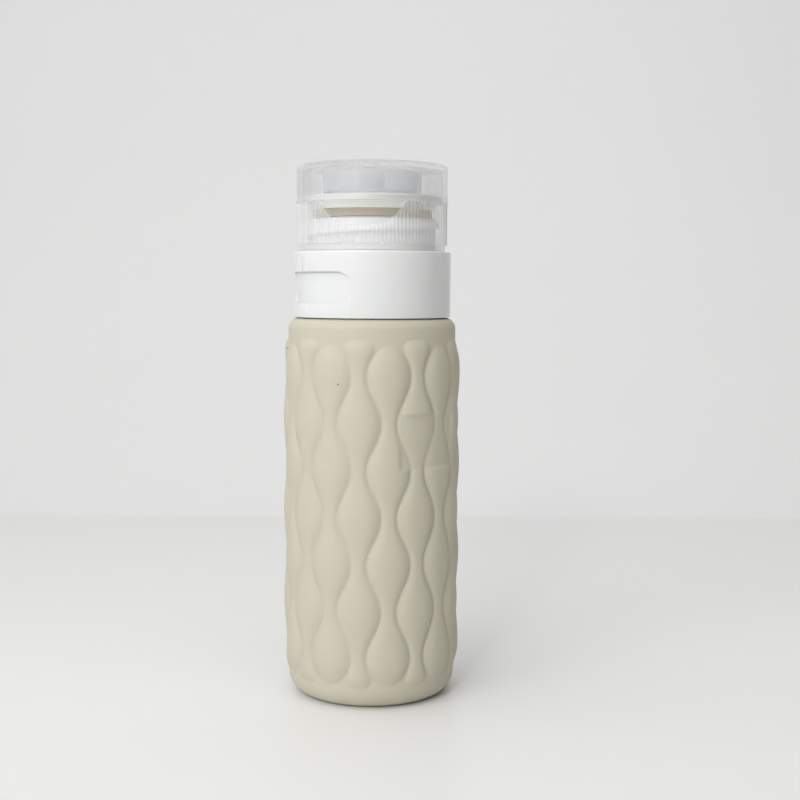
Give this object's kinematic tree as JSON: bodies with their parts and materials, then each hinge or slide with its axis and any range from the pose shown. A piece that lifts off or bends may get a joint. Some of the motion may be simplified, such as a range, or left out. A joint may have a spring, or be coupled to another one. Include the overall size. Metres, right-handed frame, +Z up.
{
  "type": "travel silicone bottle",
  "caption": "Squeezable silicone travel bottle with wavy pillowed walls, a turning label ring and a flip-top screw cap over a no-drip valve.",
  "frame": {"origin": "centre of the base, on the surface that the bottle stands on", "axes": "+Z up along the bottle's axis; -Y is the front, with the cap's thumb notch; the lid's hinge is at the back, +Y"},
  "size_m": [0.0444, 0.0449, 0.1337],
  "materials": {
    "beige_silicone": "matte",
    "neck_plastic": "satin",
    "white_plastic": "gloss",
    "label_plastic": "gloss",
    "frosted_plastic": "frosted translucent",
    "seal_silicone": "matte",
    "valve_silicone": "clear matte"
  },
  "bodies": {
    "bottle": {"silicone_bottle": "beige_silicone", "threaded_neck": "neck_plastic", "label_band": "label_plastic"},
    "sleeve": {"label_sleeve": "white_plastic"},
    "seal": {"neck_gasket": "seal_silicone"},
    "cap": {"screw_cap": "frosted_plastic", "no_drip_valve": "valve_silicone", "valve_retainer": "neck_plastic", "hinge_film": "frosted_plastic"},
    "lid": {"flip_lid": "frosted_plastic"}
  },
  "joints": [
    {"name": "sleeve_turn", "type": "hinge", "parent": "bottle", "child": "sleeve", "pos_m": [0, 0, 0.1039], "axis": [0, 0, 1], "continuous": true},
    {"name": "cap_lift", "type": "slide", "parent": "bottle", "child": "seal", "axis": [0, 0, 1], "range_m": [0, 0.0084]},
    {"name": "cap_turn", "type": "hinge", "parent": "seal", "child": "cap", "pos_m": [0, 0, 0.1182], "axis": [0, 0, 1], "range_deg": [0, 590]},
    {"name": "lid_open", "type": "hinge", "parent": "cap", "child": "lid", "pos_m": [0, 0.0186, 0.12413], "axis": [-1, 0, 0], "range_deg": [0, 165], "deforming": ["hinge_film"]}
  ],
  "couplings": [
    {"joint": "cap_lift", "follows": "cap_turn", "m_per_rad": 0.00081169}
  ]
}
